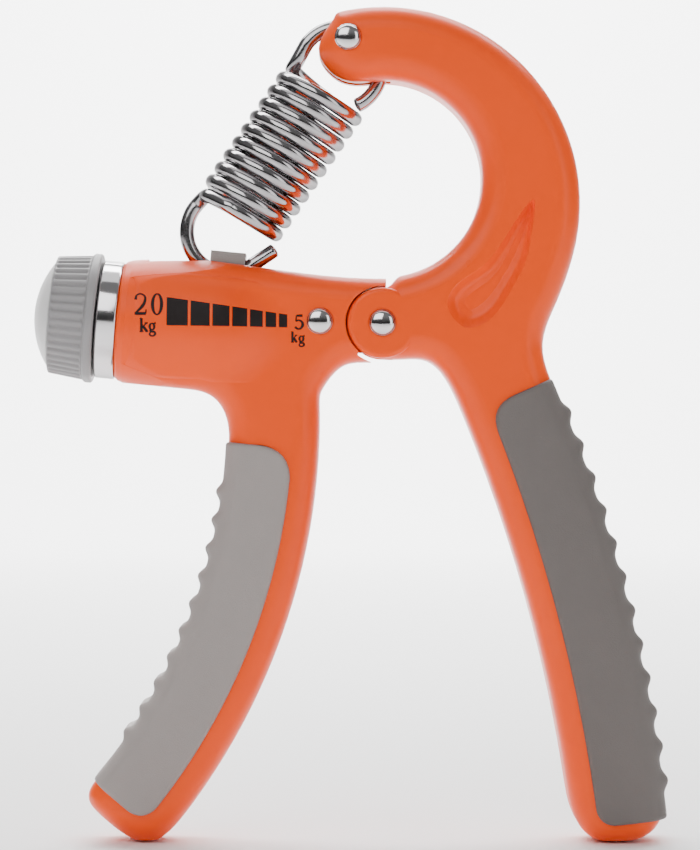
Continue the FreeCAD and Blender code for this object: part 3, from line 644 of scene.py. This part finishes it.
def glyph(letter, x0, x1, z0, z1, weight):
    """A letter in the box from (x0, z0) to (x1, z1)."""
    for stroke in GLYPHS[letter]:
        spots = [(x0 + (x1 - x0) * u, 0.0, z0 + (z1 - z0) * v) for u, v, _ in stroke]
        path = smooth_path(spots, 0.12)
        ts = np.linspace(0, 1, len(path))
        widths = np.interp(ts, np.linspace(0, 1, len(stroke)), [w for _, _, w in stroke]) * weight
        run = np.gradient(path[:, [0, 2]], axis=0)
        run /= np.linalg.norm(run, axis=1)[:, None]
        side = np.stack([-run[:, 1], run[:, 0]], axis=1)
        ink_grid([[tuple(p + n * w * k) for k in (-0.5, 0.0, 0.5)]
                  for p, n, w in zip(path[:, [0, 2]], side, widths)])


glyph("2", -40.0, -37.8, 98.9, 102.8, 0.60)
glyph("0", -36.8, -34.8, 98.9, 102.8, 0.60)
glyph("k", -39.1, -37.5, 95.7, 98.2, 0.50)
glyph("g", -37.3, -36.0, 94.9, 97.4, 0.50)
glyph("5", -10.2, -8.5, 96.3, 98.9, 0.56)
glyph("k", -10.9, -9.7, 93.8, 95.8, 0.44)
glyph("g", -9.4, -8.3, 93.0, 95.1, 0.44)
SCALE_START, SCALE_LENGTH, SQUARE_GAP = -34.0, 22.4, 0.53
square_start = SCALE_START
for i in range(7):
    width = 3.95 - 0.4 * i
    rows = []
    for x in np.linspace(square_start, square_start + width, 9):
        share = (x - SCALE_START) / SCALE_LENGTH
        rows.append([(x, z) for z in np.linspace(96.9 - 0.3 * share, 102.2 - 3.2 * share, 11)])
    ink_grid(rows)
    square_start += width + SQUARE_GAP
piece("scale_print", ink_points, ink_faces, ink, "left")

# Stage, light and camera ------------------------------------------------------------------------------------


def plain_white():
    mat = bpy.data.materials.new("backdrop_white")
    mat.use_nodes = True
    shader = mat.node_tree.nodes["Principled BSDF"]
    shader.inputs["Base Color"].default_value = (0.9, 0.9, 0.9, 1)
    shader.inputs["Roughness"].default_value = 0.9
    return mat


sweep = []
for x in (-3.0, 3.0):
    sweep += [(x, -1.2, -0.0005), (x, 1.4, -0.0005)]
    sweep += [(x, 1.4 + 0.8 * math.sin(math.radians(d)), 0.8 - 0.8005 * math.cos(math.radians(d)))
              for d in range(10, 91, 10)]
    sweep.append((x, 2.2, 3.0))
half = len(sweep) // 2
mesh = bpy.data.meshes.new("floor")
mesh.from_pydata(sweep, [], [(i, i + 1, i + 1 + half, i + half) for i in range(half - 1)])
mesh.polygons.foreach_set("use_smooth", [True] * len(mesh.polygons))
floor = bpy.data.objects.new("floor", mesh)
bpy.context.scene.collection.objects.link(floor)
floor.data.materials.append(plain_white())

world = bpy.data.worlds.new("studio")
bpy.context.scene.world = world
world.use_nodes = True
sky = world.node_tree.nodes["Background"]
sky.inputs["Strength"].default_value = 1.0
where = world.node_tree.nodes.new("ShaderNodeTexCoord")
split_z = world.node_tree.nodes.new("ShaderNodeSeparateXYZ")
ramp = world.node_tree.nodes.new("ShaderNodeValToRGB")
world.node_tree.links.new(where.outputs["Generated"], split_z.inputs["Vector"])
world.node_tree.links.new(split_z.outputs["Z"], ramp.inputs["Fac"])
world.node_tree.links.new(ramp.outputs["Color"], sky.inputs["Color"])
ramp.color_ramp.elements[0].position = 0.05
ramp.color_ramp.elements[0].color = (0.03, 0.03, 0.03, 1)
ramp.color_ramp.elements[1].position = 0.45
ramp.color_ramp.elements[1].color = (0.20, 0.20, 0.20, 1)


def softbox(name, place, target, size, power):
    data = bpy.data.lights.new(name, "AREA")
    data.shape = "RECTANGLE"
    data.size, data.size_y = size
    data.energy = power
    obj = bpy.data.objects.new(name, data)
    bpy.context.scene.collection.objects.link(obj)
    obj.location = place
    obj.rotation_euler = (Vector(target) - Vector(place)).to_track_quat("-Z", "Y").to_euler()


softbox("key", (-0.45, -0.9, 0.8), (0, 0, 0.08), (1.1, 0.8), 8.0)
softbox("fill", (0.8, -0.7, 0.25), (0, 0, 0.08), (0.4, 0.9), 2.4)
softbox("top", (0.0, 0.15, 0.9), (0, 0, 0.08), (1.0, 0.7), 2.4)
softbox("backdrop_light", (0, 1.5, 1.3), (0, 2.15, 0.25), (0.9, 0.3), 90)
softbox("floor_light", (0, 0.5, 1.0), (0, 0.75, 0), (1.6, 0.5), 32)

camera_data = bpy.data.cameras.new("camera")
camera_data.sensor_fit = "VERTICAL"
camera_data.sensor_height = 36
camera_data.lens = 137.5
camera = bpy.data.objects.new("camera", camera_data)
bpy.context.scene.collection.objects.link(camera)
camera.location = (0.0002, -0.617, 0.0783)
camera.rotation_euler = (math.radians(90), 0, 0)
bpy.context.scene.camera = camera
